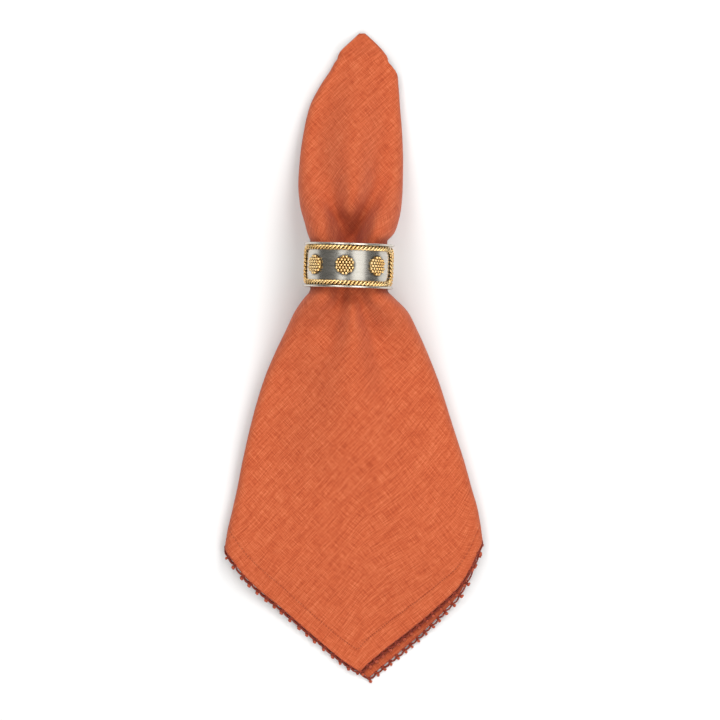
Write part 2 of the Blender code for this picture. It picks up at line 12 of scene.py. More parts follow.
import bpy
import numpy as np
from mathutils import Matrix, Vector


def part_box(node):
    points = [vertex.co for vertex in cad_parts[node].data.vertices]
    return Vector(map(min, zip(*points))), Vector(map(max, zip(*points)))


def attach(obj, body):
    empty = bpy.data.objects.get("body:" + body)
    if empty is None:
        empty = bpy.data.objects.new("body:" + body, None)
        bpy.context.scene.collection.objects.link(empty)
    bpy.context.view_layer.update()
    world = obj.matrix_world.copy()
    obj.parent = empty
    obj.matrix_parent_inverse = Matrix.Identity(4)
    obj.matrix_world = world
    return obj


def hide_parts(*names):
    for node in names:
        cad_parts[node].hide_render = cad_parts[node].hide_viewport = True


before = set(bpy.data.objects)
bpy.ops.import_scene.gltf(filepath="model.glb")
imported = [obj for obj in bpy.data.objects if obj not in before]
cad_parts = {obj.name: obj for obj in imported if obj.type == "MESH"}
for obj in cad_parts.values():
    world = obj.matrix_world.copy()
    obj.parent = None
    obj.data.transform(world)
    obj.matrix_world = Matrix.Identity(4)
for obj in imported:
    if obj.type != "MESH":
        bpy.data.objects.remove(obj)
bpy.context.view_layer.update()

MM = 0.001
TAU = 2.0 * math.pi

# The cut cloth and how it is folded. HEM_EDGE is where the linen ends and the edging starts.
CLOTH_SIDE = 508.0
QUARTER = CLOTH_SIDE / 2.0
DIAGONAL = CLOTH_SIDE / math.sqrt(2.0)
SIDE_CORNER = DIAGONAL / 2.0
HEM_EDGE = DIAGONAL - 1.3
TIP_Y = 130.5
Y_PER_ALONG = 0.992
FLAP_CLEARANCE = 18.0
CLOTH_THICK = 0.36
HEM_THICK = 0.52
HEM_WIDTH = 9.6
HEM_STEP = 1.5

# The cloth's faces. BEND_WEIGHT draws the columns closer together where the cloth bends.
ROWS = 172
FIRST_ALONG = 0.7
LAST_GAP = 0.5
BEND_WEIGHT = 5.0
TURN_STEPS = 4

# The front's shade on the rear leaf, as distances from the front's hem.
SHADE_REACH = 7.0
SHADE_FADE = 4.5

# Each layer's depth below the front's face, its share of the rear leaf's shift, its faces across,
# and the signs that say which quarter of the cut cloth it is.
Layer = namedtuple("Layer", "depth share columns p_sign q_sign")
LAYERS = (
    Layer(0.25, 0, 112, 1, 1),
    Layer(0.8, 0.02, 40, 1, -1),
    Layer(1.55, 0.96, 40, -1, -1),
    Layer(2.1, 1, 60, -1, 1),
)

# Sections across the napkin, as in the solid that it covers.
Section = namedtuple(
    "Section",
    "along centre left right side_radius floor crown belly lift tilt_deg rear_x rear_along",
    defaults=(0, 0, 0),
)
SECTIONS = [Section(*row) for row in (
    (0, 7.6, -6.4, 21.6, 1.18, 0, 2.4, 0, 0, 0, 0.5),
    (7, 7.3, -6.6, 22.2, 2.2, 0, 4.6, 0, 0, 0, 1.2),
    (14.4, 6.1, -6.2, 25.4, 3.5, 0, 7.6, 0, 0, 0, 1),
    (17.3, 4.6, -8, 26.6, 3.6, 0, 8.2, 0, 0, 0, -0.6),
    (21.4, 4.5, -10.2, 27.3, 3.7, 0, 9.4, 0, 0, 0, -1),
    (30, 3.9, -15.8, 27.9, 3.9, 0, 12, 0, 0, 0, -1),
    (42, 3.4, -21.8, 28.7, 4.6, 0, 15.5, 0, 0.4, 0, -0.5),
    (56, 2.4, -25.1, 29.8, 5.6, 0, 20.5, 0, 1.6),
    (72, 1.5, -27.3, 30.4, 7.8, 0, 26.5, 0, 2.8),
    (86, 1, -28.1, 30.2, 10.5, 0, 32, 0, 2.8),
    (98, 1.2, -27, 29.4, 14, 0.6, 36.4, 0, 2.8),
    (108, 1, -24.3, 27.4, 17.5, 2.2, 40, 1.4, 2.8),
    (114, 0.6, -22.7, 25, 19, 3.4, 42.2, 3, 2.8),
    (117.8, 0.2, -21.3, 21.5, 19.6, 4.4, 43.8, 4.4, 2.8),
    (145.2, 0.2, -21.3, 21.5, 19.6, 4.4, 43.8, 4.4, 2.8),
    (149, 0.2, -24.3, 24.9, 19.2, 3.4, 42.8, 3, 2.8),
    (157, 0.8, -29.9, 32.8, 16, 1.8, 40, 0.8, 2.8),
    (167, 1.2, -34.7, 38, 12.5, 0.6, 36.5, 0, 2.8),
    (SIDE_CORNER, 1.4, -40.8, 43.7, 9.8, 0, 33, 0, 2.8),
    (194, 1.4, -46.8, 49.4, 7.4, 0, 29.5, 0, 2.8),
    (213, 1.7, -52.8, 56.2, 6.5, 0, 25.6, 0, 2.8),
    (238, 2.4, -59.1, 65.4, 5.6, 0, 19.8, 0, 2.8, 0.2, 0.2),
    (254, 2.7, -62.4, 69.6, 5.2, 0, 16, 0, 0.6, 0.8, 0.4, 0.3),
    (266, 2.8, -65.2, 72.3, 5, 0, 13.6, 0, 0, 1.3, 0.7, 0.5),
    (277, 2.7, -67.8, 73.9, 4.9, 0, 11.6, 0, 0, 1.8, 1, 0.8),
    (287, 2.4, -69.3, 75, 4.65, 0, 10.2, 0, 0, 2.35, 1.5, 1.1),
    (296, 2.2, -69.8, 75.5, 4.1, 0, 8.7, 0, 0, 2.8, 2.1, 1.6),
    (308, 2.5, -70, 75.8, 3, 0, 6.3, 0, 0, 3.2, 2.9, 2.2),
    (322, 3.2, -70, 75.8, 1.95, 0, 4.1, 0, 0, 3.5, 3.6, 2.7),
    (338, 4.4, -70, 75.8, 1.3, 0, 2.7, 0, 0, 3.5, 4.1, 3.1),
    (354, 5.8, -70, 75.8, 1.175, 0, 2.35, 0, 0, 3.5, 4.4, 3.4),
    (384, 8.1, -70, 75.8, 1.175, 0, 2.35, 0, 0, 3.5, 4.4, 3.4),
)]

# The two furrows that the ring presses into the front.
Furrow = namedtuple("Furrow", "along left_x left_depth left_width right_x right_depth right_width")
FURROWS = [Furrow(*row) for row in (
    (0, -5, 0, 6, 20, 0, 7),
    (56, -5, 0.3, 6, 20, 0.6, 7),
    (72, -6.5, 1.2, 5.5, 19, 2, 6.5),
    (86, -8, 3.8, 5.2, 16.5, 5, 6),
    (98, -7.6, 8, 5, 10.4, 9, 5.2),
    (108, -5.6, 12, 4.8, 6.2, 12.5, 4.4),
    (117.8, -4.6, 14.5, 4.7, 4.2, 15, 4.2),
    (145.2, -4.4, 11, 4.4, 6.2, 8, 4),
    (157, -5.2, 6.5, 4.6, 8.6, 6.5, 4),
    (167, -8, 7, 6, 12.2, 8, 5.2),
    (SIDE_CORNER, -10.5, 4.6, 7.5, 15.4, 6.2, 6),
    (194, -16.5, 2.6, 9, 20.5, 4.6, 7.5),
    (213, -20, 1, 10, 22, 2.6, 8.5),
    (238, -20, 0, 10, 23.5, 0.6, 9.5),
    (254, -20, 0, 10, 24, 0, 10),
    (384, -20, 0, 10, 24, 0, 10),
)]

# Creases of the front, which fade out towards their ends. A soft swell has a negative depth.
Crease = namedtuple("Crease", "from_along from_x to_along to_x depth width")
CREASES = [Crease(*row) for row in (
    (60, 12, 112, 2.5, -1.4, 4),
    (152, 9, 205, 20, 0.5, 2.6),
    (146, 3.5, 172, 3, -0.9, 2),
    (150, -14, 190, -26, -0.7, 4.5),
    (150, 20, 186, 33, -0.8, 4.5),
    (86, -18, 116, -13, -0.6, 3.5),
    (96, 20, 117, 14, -0.7, 3.5),
    (88, 1, 142, 1, 9, 6.5),
    (122, 0.5, 166, 0.5, 1.5, 6.5),
    (190, 0, 262, 6, -0.7, 13),
    (214, -34, 276, -40, 0.6, 9),
    (206, 38, 268, 46, 0.55, 9),
    (28, 12, 70, 16, -0.5, 6),
    (24, -4, 66, -12, 0.45, 6),
)]

# Slow unevenness of ironed linen, as waves with their lengths along and across.
Wave = namedtuple("Wave", "height along across phase")
WAVES = (
    Wave(0.22, 74, 96, 0.4),
    Wave(0.14, 41, -52, 1.9),
    Wave(0.08, 23, 31, 2.7),
    Wave(0.05, -15, 19, 0.9),
)
WAVE_FADE_ACROSS = 18.0
WAVE_FADE_ALONG = 60.0
WAVE_AT_HEM = 0.15

# How far the lower hems hang below straight ones, on the bias: x and length.
LET_DOWNS = np.array((
    (-76, 1), (-64.6, 2.2), (-61.4, 3.2), (-57, 4.3), (-50.5, 4.3),
    (-45.5, 3.9), (-38, 3.1), (-14.3, 3.1), (-4.5, 2.9), (0.9, 2.1),
    (6.5, 1), (17.7, 3.8), (29.6, 8.2), (40.4, 11.8), (50.4, 14),
    (59.7, 15.2), (67, 11.5), (71.5, 6), (78, 3),
))
LET_DOWN_FROM = -60.0
LET_DOWN_FULL = -150.0

# The dense table that the drape is read from, and the points of one section's line.
GRID_STEP = 0.5
GRID_ALONG = 372.0
GRID_ACROSS = 130.0
GRID_END = 1.001
TOP_POINTS = 70
ARC_POINTS = 40
BOTTOM_POINTS = 50

# The crocheted edging. A reach is a distance beyond the linen, and a cord is a thread's radius.
PICOT_STEP = 6.05
LACE_START = SIDE_CORNER + 2.0
HEM_POINTS = 400
WAY_STEP = 0.4
CORD_SIDES = 6
BASE_CORD = 0.27
BASE_REACH = 0.1
BASE_POINTS = 4
CHAIN_CORD = 0.42
CHAIN_FOOT = 0.6
CHAIN_REACH = 1.6
CHAIN_ROUNDNESS = 0.8
CHAIN_POINTS = 11
KNOT_REACH = 0.6
KNOT_SIZE = (0.95, 0.85, 0.6)
LOOP_RADIUS = 0.38
LOOP_CORD = 0.44
LOOP_REACH = 2.45
LOOP_POINTS = 12
LOOP_SIDES = 8
LOOP_LEAN = 0.2

# Unevenness of the chain's reach, the picot's place and its loop's lean, as size, pace and start.
CHAIN_WOBBLES = ((0.14, 2.4, 0.0), (0.08, 5.1, 1.0))
STEP_WOBBLES = ((0.05, 3.3, 0.0),)
LEAN_WOBBLES = ((0.45, 1.7, 0.0),)

# The ring. Angles on it go from its top towards +X, and it is turned a little about the vertical.
RING_TURN = math.radians(-1.8)
FLANGE_RADIUS = 25.0
BAND_RADIUS = 23.2
BORE_RADIUS = 22.3
RING_HALF_LENGTH = 12.35
FLANGE_WIDTH = 1.3
ROLL_POINTS = 11
FILLET = 0.12
RIM_START = 0.5
FOOT_RISE = 0.45
FOOT_RUN = 0.4
BORE_INSET = 0.3
BAND_INSET = 0.8
RING_SEGMENTS = 240
BORE_COLUMNS = 14
BAND_COLUMNS = 56
SHARP_ANGLE = math.radians(50.0)
PANEL_HALF = math.radians(83.0)
PANELS = {"front": math.radians(-5.0), "back": math.radians(175.0)}

# The gilt ropes, as a frame round each panel. Offsets and sizes are first beside and then outwards.
ROPE_Y = 9.6
ROPE_CORNER = 6.3
CORNER_POINTS = 13
ROPE_RUN = PANEL_HALF * BAND_RADIUS - ROPE_CORNER
ROPE_RISE = ROPE_Y - ROPE_CORNER
ROPE_RADIUS = 24.05
STRAND_OFFSET = (0.80, 0.46)
STRAND_SIZE = (0.62, 0.50)
STRAND_PITCH = 4.4
STRAND_SIDES = 8
STRAND_STEP = 0.3

# The bosses: their disc as shares of its radius with heights above the band, and their beads.
BOSS_SPACING = math.radians(47.5)
BOSS_RADIUS = 5.4
DISC_RADIUS = BOSS_RADIUS - 0.5
DISC_SIDES = 40
DISC_STEPS = ((1.0, 0.15), (1.0, 0.5), (0.7, 0.6), (0.02, 0.65))
BEAD_RINGS = (1, 2, 3)
BEAD_PITCH = 1.72
BEAD_SIZE = (0.9, 0.9, 0.855)
BEAD_HEIGHT = 0.93
BEAD_DROP = 0.12

# Painted shade on the band beside the ropes, outside their frame and round the bosses.
ROPE_HALF_WIDTH = 1.0
ROPE_SHADE_WIDTH = 0.32
BOSS_SHADE_WIDTH = 0.42
OUTSIDE_SHADE = 0.9
OUTSIDE_REACH = 2.2
RECESS_DEPTH = 0.3

# The table, lights and camera, in metres, with the camera's place over the napkin in millimetres.
TABLE_HALF = 2.5
TABLE_GAP = 0.3 * MM
SKY_STRENGTH = 0.14
SKY_COLOUR = (1.0, 0.99, 0.98, 1.0)
Light = namedtuple("Light", "name azimuth_deg off_vertical_deg distance size power")
LIGHTS = [
    Light("key_strip", 0.0, 27.0, 1.3, (0.86, 2.0), 6.6),
    Light("left_strip", 180.0, 17.0, 1.4, (0.42, 0.5), 1.0),
]
for azimuth, power in ((58, 7.8), (122, 7.8), (238, 6.2), (302, 6.2)):
    LIGHTS.append(Light(f"corner_{azimuth}", azimuth, 44.0, 1.5, (0.8, 0.8), power))
VIEW_X, VIEW_Y = 6.3, -52.1
VIEW_HEIGHT = 3.0
VIEW_SPAN = 0.3965
SENSOR = 36.0

ring_low, ring_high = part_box("ring_band")
RING_X, RING_Y, RING_Z = (float(c) / MM for c in (ring_low + ring_high) / 2.0)


def in_frame(points):
    """Design places, in millimetres, as places in the frame's metres."""
    return (np.asarray(points, float) + (RING_X, RING_Y, 0.0)) * MM


def smooth_between(xs, ys, x):
    """Monotone cubic interpolation between the rows of a table."""
    k = int(np.clip(np.searchsorted(xs, x) - 1, 0, len(xs) - 2))
    steps = np.diff(xs)
    slopes = np.diff(ys) / steps
    ends = []
    for i in (k, k + 1):
        if i in (0, len(xs) - 1) or slopes[i - 1] * slopes[i] <= 0.0:
            ends.append(0.0)
        else:
            before = 2.0 * steps[i] + steps[i - 1]
            after = steps[i] + 2.0 * steps[i - 1]
            ends.append((before + after) / (before / slopes[i - 1] + after / slopes[i]))
    t = (x - xs[k]) / steps[k]
    return (
        ys[k] * (1 + 2 * t) * (1 - t) ** 2
        + ends[0] * steps[k] * t * (1 - t) ** 2
        + ys[k + 1] * t * t * (3 - 2 * t)
        - ends[1] * steps[k] * t * t * (1 - t)
    )


def row_at(rows, along):
    """The row of a table at any distance along the diagonal."""
    table = np.array(rows)
    values = [smooth_between(table[:, 0], table[:, c], along) for c in range(1, table.shape[1])]
    return type(rows[0])(along, *values)


def bell(distance, width):
    return np.exp(-0.5 * (distance / width) ** 2)


def crease_depth(along, x):
    """How deep the finer creases lie at some places of one section."""
    depth = np.zeros_like(x)
    for crease in CREASES:
        share = (along - crease.from_along) / (crease.to_along - crease.from_along)
        if 0.0 < share < 1.0:
            middle = crease.from_x + (crease.to_x - crease.from_x) * share
            fade = math.sin(math.pi * share) ** 2
            depth += crease.depth * fade * bell(x - middle, crease.width)
    return depth


LET_DOWN_X = np.linspace(LET_DOWNS[0, 0], LET_DOWNS[-1, 0], 200)
LET_DOWN_CURVE = [smooth_between(*LET_DOWNS.T, x) for x in LET_DOWN_X]


def let_down(x, y):
    """The place along Y of cloth that would lie at x and y if its hems were straight."""
    share = np.clip((y - LET_DOWN_FROM) / (LET_DOWN_FULL - LET_DOWN_FROM), 0, 1)
    return y - np.interp(x, LET_DOWN_X, LET_DOWN_CURVE) * share * share * (3.0 - 2.0 * share)


def together(*values):
    """Numbers or arrays as arrays of one shape."""
    return np.broadcast_arrays(*(np.asarray(value, float) for value in values))


def lengths_along(points):
    """How far along a line each of its points is."""
    steps = np.linalg.norm(np.diff(points, axis=0), axis=1)
    return np.concatenate([[0.0], np.cumsum(steps)])


def unit(vectors):
    return vectors / np.maximum(np.linalg.norm(vectors, axis=-1, keepdims=True), 1e-9)


class Path:
    """The outer face in one section, from the left flap over the front to the right flap."""

    def __init__(self, along):
        self.section = row_at(SECTIONS, along)
        furrow = row_at(FURROWS, along)
        left, left_apex = self.half(-1, furrow)
        right, right_apex = self.half(1, furrow)
        line = np.vstack([left[::-1], right[1:]])
        arcs = lengths_along(line)
        middle = len(left) - 1
        self.arcs = arcs - arcs[middle]
        tangent = unit(np.gradient(line, self.arcs, axis=0))
        self.line = line
        self.normal = np.column_stack([-tangent[:, 1], tangent[:, 0]])
        heading = np.unwrap(np.arctan2(tangent[:, 1], tangent[:, 0]))
        bend = np.concatenate([[0.0], np.cumsum(np.abs(np.diff(heading)))])
        self.effort = self.arcs + BEND_WEIGHT * (bend - bend[middle])
        self.apex = {-1: -self.arcs[middle - left_apex], 1: self.arcs[middle + right_apex]}
        self.limit = {-1: -self.arcs[0] - FLAP_CLEARANCE, 1: self.arcs[-1] - FLAP_CLEARANCE}

    def half(self, side, furrow):
        """Points from the top centre, round one side fold and under to the far side."""
        s = self.section
        middle = (s.left + s.right) / 2.0
        half_width = (s.right - s.left) / 2.0
        run = half_width - s.side_radius
        lift = s.lift if side < 0 else 0.0
        radius = s.side_radius - lift / 2.0
        edge = s.right if side > 0 else s.left
        turn_x = edge - side * radius
        shoulder = s.floor + 2.0 * s.side_radius

        def dome(x):
            return np.cos(math.pi / 2 * np.clip((x - middle) / run, -1, 1)) ** 2

        top_x = np.linspace(s.centre, turn_x, TOP_POINTS)
        top_z = shoulder + (s.crown - shoulder) * dome(top_x)
        angles = np.linspace(math.pi / 2, -math.pi / 2, ARC_POINTS)
        turn_z = shoulder - radius + radius * np.sin(angles)
        turn = np.column_stack([turn_x + side * radius * np.cos(angles), turn_z])
        bottom_x = np.linspace(turn_x, middle - side * run, BOTTOM_POINTS)
        bottom_z = s.floor + lift - (s.floor - s.belly) * dome(bottom_x)

        upper = np.vstack([np.column_stack([top_x, top_z]), turn[1 : ARC_POINTS // 2]])
        fade = 1.0 - ((upper[:, 0] - middle) / half_width) ** 2
        for x, depth, width in (furrow[1:4], furrow[4:7]):
            upper[:, 1] -= depth * bell(upper[:, 0] - x, width) * fade
        upper[:, 1] -= crease_depth(s.along, upper[:, 0]) * fade
        lower = np.column_stack([bottom_x, bottom_z])[1:]
        return np.vstack([upper, turn[ARC_POINTS // 2 :], lower]), len(upper) - 1


class Drape:
    """The draped cloth as dense tables."""

    def __init__(self):
        self.alongs = np.arange(0.0, GRID_ALONG + GRID_STEP, GRID_STEP)
        self.across = np.arange(-GRID_ACROSS, GRID_ACROSS + GRID_STEP, GRID_STEP)
        self.paths = [Path(along) for along in self.alongs]
        self.table = np.array([self.cells(path) for path in self.paths]).transpose(0, 2, 1)
        self.rows = {
            name: np.array([getattr(path.section, name) for path in self.paths])
            for name in ("centre", "tilt_deg", "rear_x", "rear_along")
        }
        for side in (-1, 1):
            self.rows["apex", side] = np.array([path.apex[side] for path in self.paths])
            self.rows["limit", side] = np.array([path.limit[side] for path in self.paths])

    def cells(self, path):
        """The places and normals of one section, at even steps across."""
        columns = (*path.line.T, *path.normal.T)
        return [np.interp(self.across, path.arcs, values) for values in columns]

    def row(self, name, along):
        return np.interp(along, self.alongs, self.rows[name])

    def reach(self, side, along):
        """How far the front layer goes on one side."""
        straight = np.minimum(along, HEM_EDGE - along)
        return np.minimum(straight, self.row(("limit", side), along))

    def ripple(self, along, across):
        """The ironed front's slow unevenness."""
        left, right = (self.row(("apex", side), along) for side in (-1, 1))
        apex = np.where(across < 0.0, left, right)
        fade = np.clip((apex - np.abs(across)) / WAVE_FADE_ACROSS, 0, 1)
        fade = fade * np.clip((DIAGONAL - along) / WAVE_FADE_ALONG, WAVE_AT_HEM, 1.0)
        height = np.zeros_like(across)
        for wave in WAVES:
            turns = along / wave.along + across / wave.across
            height += wave.height * np.sin(TAU * turns + wave.phase)
        return height * fade

    def place(self, along, across, depth):
        """Design places at some depth below the front's outer face."""
        along, across, depth = together(along, across, depth)
        row = np.clip(along / GRID_STEP, 0, len(self.alongs) - GRID_END)
        column = np.clip((across + GRID_ACROSS) / GRID_STEP, 0, len(self.across) - GRID_END)
        i, j = row.astype(int), column.astype(int)
        u, v = (row - i)[..., None], (column - j)[..., None]
        near = self.table[i, j] * (1 - v) + self.table[i, j + 1] * v
        far = self.table[i + 1, j] * (1 - v) + self.table[i + 1, j + 1] * v
        x, z, nx, nz = np.moveaxis(near * (1 - u) + far * u, -1, 0)
        length = np.hypot(nx, nz)
        inward = depth - self.ripple(along, across)
        centre = self.row("centre", along)
        tilt = np.radians(self.row("tilt_deg", along))
        x = x - inward * nx / length - centre
        y = TIP_Y - Y_PER_ALONG * along + x * np.sin(tilt)
        x = centre + x * np.cos(tilt)
        return np.stack([x, let_down(x, y), z - inward * nz / length], axis=-1)


class Sheet:
    """One layer of the napkin."""

    def __init__(self, drape, layer):
        self.drape = drape
        self.layer = layer

    def shift(self, along):
        """How far the layer is shifted across."""
        return self.layer.share * self.drape.row("rear_x", along)

    def ahead(self, along):
        """How far the layer's hems lie beyond the front's."""
        ahead = self.layer.share * self.drape.row("rear_along", along)
        return np.where(along > SIDE_CORNER, ahead, 0.0)

    def edge(self, side, along):
        """Where the layer ends on one side, as a place across."""
        shift = self.shift(along)
        if side < 0:
            shift = np.where(along > SIDE_CORNER, shift, 0.0)
        return side * (self.drape.reach(side, along) + self.ahead(along)) + shift

    def alongs(self):
        """The rows: the same for every layer down to the side corners, then stretched."""
        last = HEM_EDGE - LAST_GAP
        rows = np.linspace(FIRST_ALONG, last, ROWS)
        stretch = (last + self.ahead(DIAGONAL) - SIDE_CORNER) / (last - SIDE_CORNER)
        return np.where(rows > SIDE_CORNER, SIDE_CORNER + (rows - SIDE_CORNER) * stretch, rows)

    def columns(self, along):
        """Places across one row, closer together where the cloth bends."""
        paths = self.drape.paths
        path = paths[min(round(along / GRID_STEP), len(paths) - 1)]
        ends = [float(self.edge(side, along)) for side in (-1, 1)]
        marks = np.interp(ends, path.arcs, path.effort)
        places = np.interp(np.linspace(*marks, self.layer.columns + 1), path.effort, path.arcs)
        places[0], places[-1] = ends
        return places

    def flat(self, along, across):
        """The place on the cut cloth, from its centre."""
        down = along - self.ahead(along)
        right = across - self.shift(along)
        p = (down + right) / math.sqrt(2.0) * self.layer.p_sign
        q = (down - right) / math.sqrt(2.0) * self.layer.q_sign
        return p, q


def link(obj):
    bpy.context.scene.collection.objects.link(obj)
    return obj


def add_values(mesh, name, values):
    """A number at each point of a mesh."""
    attribute = mesh.attributes.new(name, "FLOAT", "POINT")
    attribute.data.foreach_set("value", np.array(values, float))


class MeshData:
    """A mesh in the making."""

    def __init__(self):
        self.points, self.faces, self.uvs, self.weights = [], [], [], []

    def add(self, points, uvs=None, weights=None):
        """Adds points and returns their indices."""
        start, count = len(self.points), len(points)
        self.points += map(tuple, points)
        self.uvs += [(0.0, 0.0)] * count if uvs is None else map(tuple, uvs)
        self.weights += [0.0] * count if weights is None else list(weights)
        return list(range(start, start + count))

    def strip(self, first, second, closed=False):
        """Faces between two rows of points, joined end to end where closed."""
        if closed:
            first, second = first + first[:1], second + second[:1]
        self.faces += zip(first, first[1:], second[1:], second)

    def build(self, name, material, weight_name=None):
        """Makes the object, with its weights under a name."""
        mesh = bpy.data.meshes.new(name)
        mesh.from_pydata([tuple(point) for point in in_frame(self.points)], [], self.faces)
        mesh.validate()
        layer = mesh.uv_layers.new(name="flat")
        corners = np.empty(len(mesh.loops), int)
        mesh.loops.foreach_get("vertex_index", corners)
        layer.data.foreach_set("uv", np.array(self.uvs, float)[corners].ravel())
        if weight_name:
            add_values(mesh, weight_name, self.weights)
        mesh.shade_smooth()
        mesh.materials.append(material)
        return link(bpy.data.objects.new(name, mesh))


def hem_weight(p, q):
    """The cloth's thickness as a share of the doubled hem's."""
    inside = QUARTER - np.maximum(np.abs(p), np.abs(q)) - HEM_WIDTH
    thin = CLOTH_THICK / HEM_THICK
    return thin + (1.0 - thin) * np.clip(0.5 - inside / HEM_STEP, 0, 1)


def flat_uvs(p, q):
    """Places on the cut cloth as UVs, where the whole cloth is 1 by 1."""
    return np.column_stack([p, q]) / CLOTH_SIDE + 0.5


def cloth_rows(drape, layer, data):
    """One layer's points, as rows of indices."""
    sheet = Sheet(drape, layer)
    rows = []
    for along in sheet.alongs():
        across = sheet.columns(along)
        p, q = sheet.flat(along, across)
        places = drape.place(along, across, layer.depth)
        rows.append(data.add(places, flat_uvs(p, q), hem_weight(p, q)))
    for first, second in zip(rows, rows[1:]):
        data.strip(first, second)
    return sheet, rows


def fold_turn(drape, data, upper, lower, side):
    """The rounded fold that joins two layers, down to the side corner."""
    (upper_sheet, upper_rows), (lower_sheet, lower_rows) = upper, lower
    radius = (lower_sheet.layer.depth - upper_sheet.layer.depth) / 2.0
    middle = (lower_sheet.layer.depth + upper_sheet.layer.depth) / 2.0
    end = 0 if side < 0 else -1
    previous = None
    for k, along in enumerate(upper_sheet.alongs()):
        if along > SIDE_CORNER:
            break
        edges = [float(sheet.edge(side, along)) for sheet in (upper_sheet, lower_sheet)]
        p, q = upper_sheet.flat(along, edges[0])
        line = [upper_rows[k][end]]
        for step in range(1, TURN_STEPS):
            share = step / TURN_STEPS
            angle = math.pi * share
            across = edges[0] + (edges[1] - edges[0]) * share + side * radius * math.sin(angle)
            place = drape.place(along, across, middle - radius * math.cos(angle))
            line += data.add([place], flat_uvs(p, q), [hem_weight(p, q)])
        line.append(lower_rows[k][end])
        if previous is not None:
            first, second = (previous, line) if side > 0 else (line, previous)
            data.strip(first, second)
        previous = line


def hem_shade(front, sheet, along):
    """How much of the front's shade falls on one row of the rear leaf."""
    across = sheet.columns(along)
    edge = np.where(across < 0.0, -front.edge(-1, along), front.edge(1, along))
    beyond = (np.abs(across) - edge) / math.sqrt(2.0)
    shade = np.clip(SHADE_REACH - np.abs(beyond), 0.0, SHADE_FADE) / SHADE_FADE
    return shade * (along > SIDE_CORNER)


def add_cloth(drape, material):
    """The whole napkin as one folded sheet, four layers deep."""
    data = MeshData()
    layers = [cloth_rows(drape, layer, data) for layer in LAYERS]
    for upper, lower, side in ((0, 1, 1), (2, 3, 1), (1, 2, -1), (0, 3, -1)):
        fold_turn(drape, data, layers[upper], layers[lower], side)
    cloth = data.build("napkin_cloth", material)
    shade = np.zeros(len(data.points))
    for sheet, rows in layers[2:]:
        for along, row in zip(sheet.alongs(), rows):
            shade[row] = hem_shade(layers[0][0], sheet, along)
    add_values(cloth.data, "hem_shade", shade)
    group = cloth.vertex_groups.new(name="thickness")
    weights = np.round(data.weights, 2)
    for value in np.unique(weights):
        group.add(np.flatnonzero(weights == value).tolist(), float(value), "REPLACE")
    solid = cloth.modifiers.new("thickness", "SOLIDIFY")
    solid.thickness = HEM_THICK * MM
    solid.offset = 0.0
    solid.vertex_group = group.name
    solid.use_even_offset = False
    return cloth


def round_points(count, beside, over):
    """Evenly spaced points of an ellipse, from its first half axis towards its second."""
    angles = TAU * np.arange(count)[:, None] / count
    return np.cos(angles) * beside + np.sin(angles) * over


def add_tube(data, centres, size, sides, closed=False, up=(0.0, 0.0, 1.0), weight=0.0):
    """A tube along points. Its size is a radius, or two: beside and along the up direction."""
    centres = np.asarray(centres, float)
    if closed:
        tangent = unit(np.roll(centres, -1, axis=0) - np.roll(centres, 1, axis=0))
    else:
        tangent = unit(np.gradient(centres, axis=0))
    beside = unit(np.cross(tangent, np.broadcast_to(up, centres.shape)))
    over = np.cross(beside, tangent)
    wide, high = np.broadcast_to(size, 2)
    rings = []
    for k, length in enumerate(lengths_along(centres)):
        ring = centres[k] + round_points(sides, wide * beside[k], high * over[k])
        uvs = np.column_stack([np.full(sides, length), np.arange(sides) / sides])
        rings.append(data.add(ring, uvs, [weight] * sides))
    pairs = list(zip(rings, rings[1:]))
    if closed:
        pairs.append((rings[-1], rings[0]))
    for first, second in pairs:
        data.strip(first, second, closed=True)
    if not closed:
        data.faces.append(tuple(rings[0]))
        data.faces.append(tuple(rings[-1][::-1]))


def add_blob(data, centre, axes, rounds=4, sides=8):
    """A small ellipsoid. Its axes are three vectors, with their lengths."""
    rows = [data.add([centre - axes[2]])]
    for k in range(1, rounds):
        tilt = math.pi * (k / rounds - 0.5)
        flat = round_points(sides, axes[0], axes[1])
        rows.append(data.add(centre + math.cos(tilt) * flat + math.sin(tilt) * axes[2]))
    rows.append(data.add([centre + axes[2]]))
    for k in range(sides):
        following = (k + 1) % sides
        data.faces.append((rows[0][0], rows[1][following], rows[1][k]))
        data.faces.append((rows[-1][0], rows[-2][k], rows[-2][following]))
    for first, second in zip(rows[1:-1], rows[2:-1]):
        data.strip(first, second, closed=True)


class Hem:
    """One hem of one layer, in even steps to the open corner."""

    def __init__(self, sheet, side):
        self.sheet = sheet
        self.side = side
        alongs = np.linspace(LACE_START, HEM_EDGE + float(sheet.ahead(DIAGONAL)), HEM_POINTS)
        self.route = np.column_stack([alongs, sheet.edge(side, alongs)])
        walked = lengths_along(self.route)
        self.count = int(round(walked[-1] / PICOT_STEP))
        self.walked = walked * self.count / walked[-1]

    def spot(self, step):
        """The place on the edge at a number of steps, as along and across."""
        return np.array([np.interp(step, self.walked, column) for column in self.route.T])

    def flat(self, step, reach):
        """The flat place at a number of steps, some way beyond the edge."""
        ahead = self.spot(np.minimum(step + WAY_STEP, self.count))
        way = ahead - self.spot(np.maximum(step - WAY_STEP, 0.0))
        way = way / np.maximum(np.hypot(*way), 1e-9)
        return self.spot(step) + reach * self.side * np.array([-way[1], way[0]])

    def place(self, step, reach):
        """The design place at a number of steps, some way beyond the edge."""
        along, across = self.flat(*together(step, reach))
        return self.sheet.drape.place(along, across, self.sheet.layer.depth)


def wobble(number, wobbles):
    """The unevenness of one stitch, by its number."""
    return sum(size * math.sin(pace * number + start) for size, pace, start in wobbles)


